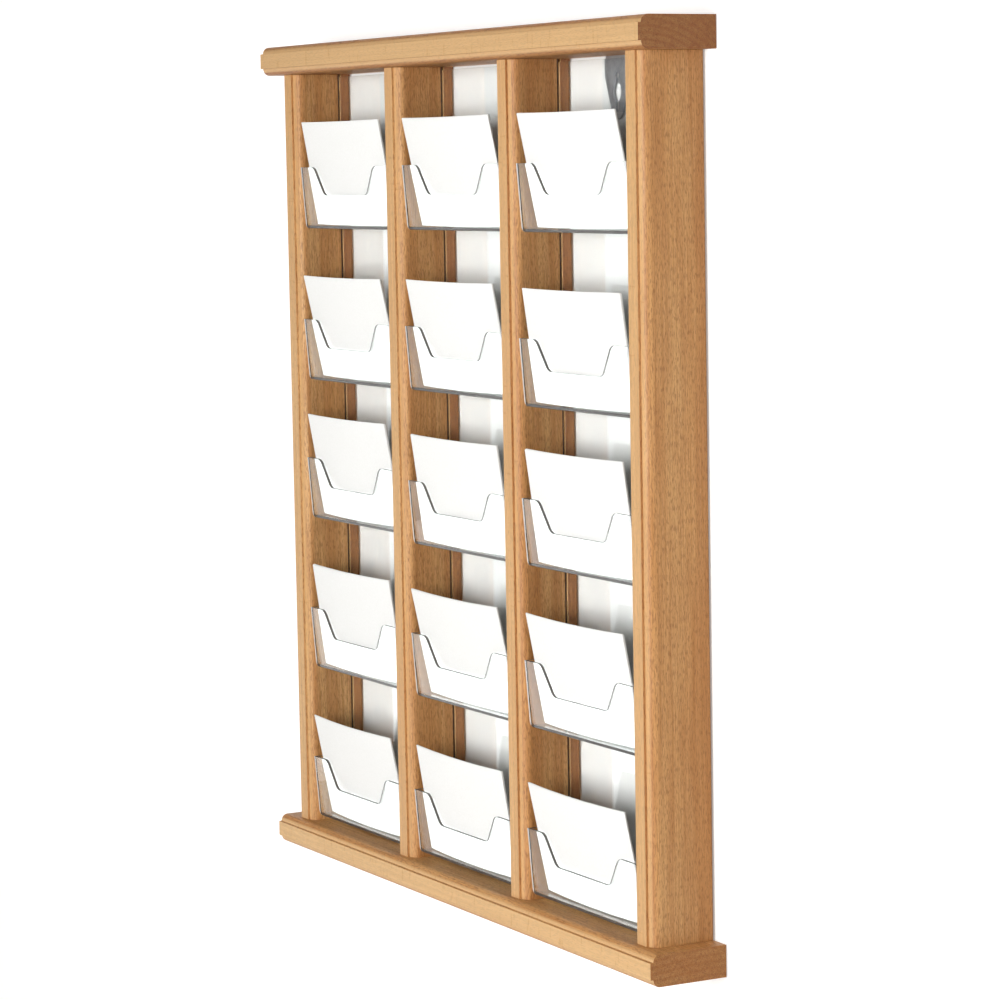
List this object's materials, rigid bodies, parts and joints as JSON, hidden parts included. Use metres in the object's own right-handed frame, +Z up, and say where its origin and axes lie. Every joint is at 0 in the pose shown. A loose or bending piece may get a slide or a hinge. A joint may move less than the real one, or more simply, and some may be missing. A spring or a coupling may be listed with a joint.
{
  "type": "wall index card rack",
  "caption": "Wall-hung wooden rack with columns of clear scooped pockets on clear back sheets, each holding a small leaning pack of blank index cards.",
  "frame": {"origin": "middle of the back of the top rail, on the wall plane", "axes": "+X along the rails to the viewer's right, +Y into the wall, +Z up"},
  "size_m": [0.5512, 0.0559, 0.6016],
  "materials": {
    "beech": "satin lacquered beech",
    "clear_sheet": "clear polished",
    "clear_pocket": "clear polished",
    "card": "smooth white card",
    "hanger_steel": "plain zinc grey"
  },
  "bodies": {
    "rack": {"top_rail": "beech", "bottom_rail": "beech", "left_upright": "beech", "left_divider": "beech", "right_divider": "beech", "right_upright": "beech", "left_sheet": "clear_sheet", "middle_sheet": "clear_sheet", "right_sheet": "clear_sheet", "pocket_left_1": "clear_pocket", "pocket_left_2": "clear_pocket", "pocket_left_3": "clear_pocket", "pocket_left_4": "clear_pocket", "pocket_left_5": "clear_pocket", "pocket_middle_1": "clear_pocket", "pocket_middle_2": "clear_pocket", "pocket_middle_3": "clear_pocket", "pocket_middle_4": "clear_pocket", "pocket_middle_5": "clear_pocket", "pocket_right_1": "clear_pocket", "pocket_right_2": "clear_pocket", "pocket_right_3": "clear_pocket", "pocket_right_4": "clear_pocket", "pocket_right_5": "clear_pocket", "left_hanger": "hanger_steel", "right_hanger": "hanger_steel", "hanger_screws": "hanger_steel", "joint_dowels": "beech"},
    "cards_left_1": {"cards_left_1": "card"},
    "cards_left_2": {"cards_left_2": "card"},
    "cards_left_3": {"cards_left_3": "card"},
    "cards_left_4": {"cards_left_4": "card"},
    "cards_left_5": {"cards_left_5": "card"},
    "cards_middle_1": {"cards_middle_1": "card"},
    "cards_middle_2": {"cards_middle_2": "card"},
    "cards_middle_3": {"cards_middle_3": "card"},
    "cards_middle_4": {"cards_middle_4": "card"},
    "cards_middle_5": {"cards_middle_5": "card"},
    "cards_right_1": {"cards_right_1": "card"},
    "cards_right_2": {"cards_right_2": "card"},
    "cards_right_3": {"cards_right_3": "card"},
    "cards_right_4": {"cards_right_4": "card"},
    "cards_right_5": {"cards_right_5": "card"}
  },
  "joints": [
    {"name": "cards_left_1_lift", "type": "slide", "parent": "rack", "child": "cards_left_1", "axis": [0, -0.1736, 0.9848], "range_m": [0, 0.034]},
    {"name": "cards_left_2_lift", "type": "slide", "parent": "rack", "child": "cards_left_2", "axis": [0, -0.2079, 0.9781], "range_m": [0, 0.045]},
    {"name": "cards_left_3_lift", "type": "slide", "parent": "rack", "child": "cards_left_3", "axis": [0, -0.1736, 0.9848], "range_m": [0, 0.045]},
    {"name": "cards_left_4_lift", "type": "slide", "parent": "rack", "child": "cards_left_4", "axis": [0, -0.1392, 0.9903], "range_m": [0, 0.045]},
    {"name": "cards_left_5_lift", "type": "slide", "parent": "rack", "child": "cards_left_5", "axis": [0, -0.1908, 0.9816], "range_m": [0, 0.045]},
    {"name": "cards_middle_1_lift", "type": "slide", "parent": "rack", "child": "cards_middle_1", "axis": [0, -0.2079, 0.9781], "range_m": [0, 0.034]},
    {"name": "cards_middle_2_lift", "type": "slide", "parent": "rack", "child": "cards_middle_2", "axis": [0, -0.1822, 0.9833], "range_m": [0, 0.045]},
    {"name": "cards_middle_3_lift", "type": "slide", "parent": "rack", "child": "cards_middle_3", "axis": [0, -0.1392, 0.9903], "range_m": [0, 0.045]},
    {"name": "cards_middle_4_lift", "type": "slide", "parent": "rack", "child": "cards_middle_4", "axis": [0, -0.2079, 0.9781], "range_m": [0, 0.045]},
    {"name": "cards_middle_5_lift", "type": "slide", "parent": "rack", "child": "cards_middle_5", "axis": [0, -0.1564, 0.9877], "range_m": [0, 0.045]},
    {"name": "cards_right_1_lift", "type": "slide", "parent": "rack", "child": "cards_right_1", "axis": [0, -0.2079, 0.9781], "range_m": [0, 0.034]},
    {"name": "cards_right_2_lift", "type": "slide", "parent": "rack", "child": "cards_right_2", "axis": [0, -0.1392, 0.9903], "range_m": [0, 0.045]},
    {"name": "cards_right_3_lift", "type": "slide", "parent": "rack", "child": "cards_right_3", "axis": [0, -0.1392, 0.9903], "range_m": [0, 0.045]},
    {"name": "cards_right_4_lift", "type": "slide", "parent": "rack", "child": "cards_right_4", "axis": [0, -0.1908, 0.9816], "range_m": [0, 0.045]},
    {"name": "cards_right_5_lift", "type": "slide", "parent": "rack", "child": "cards_right_5", "axis": [0, -0.2079, 0.9781], "range_m": [0, 0.045]}
  ]
}
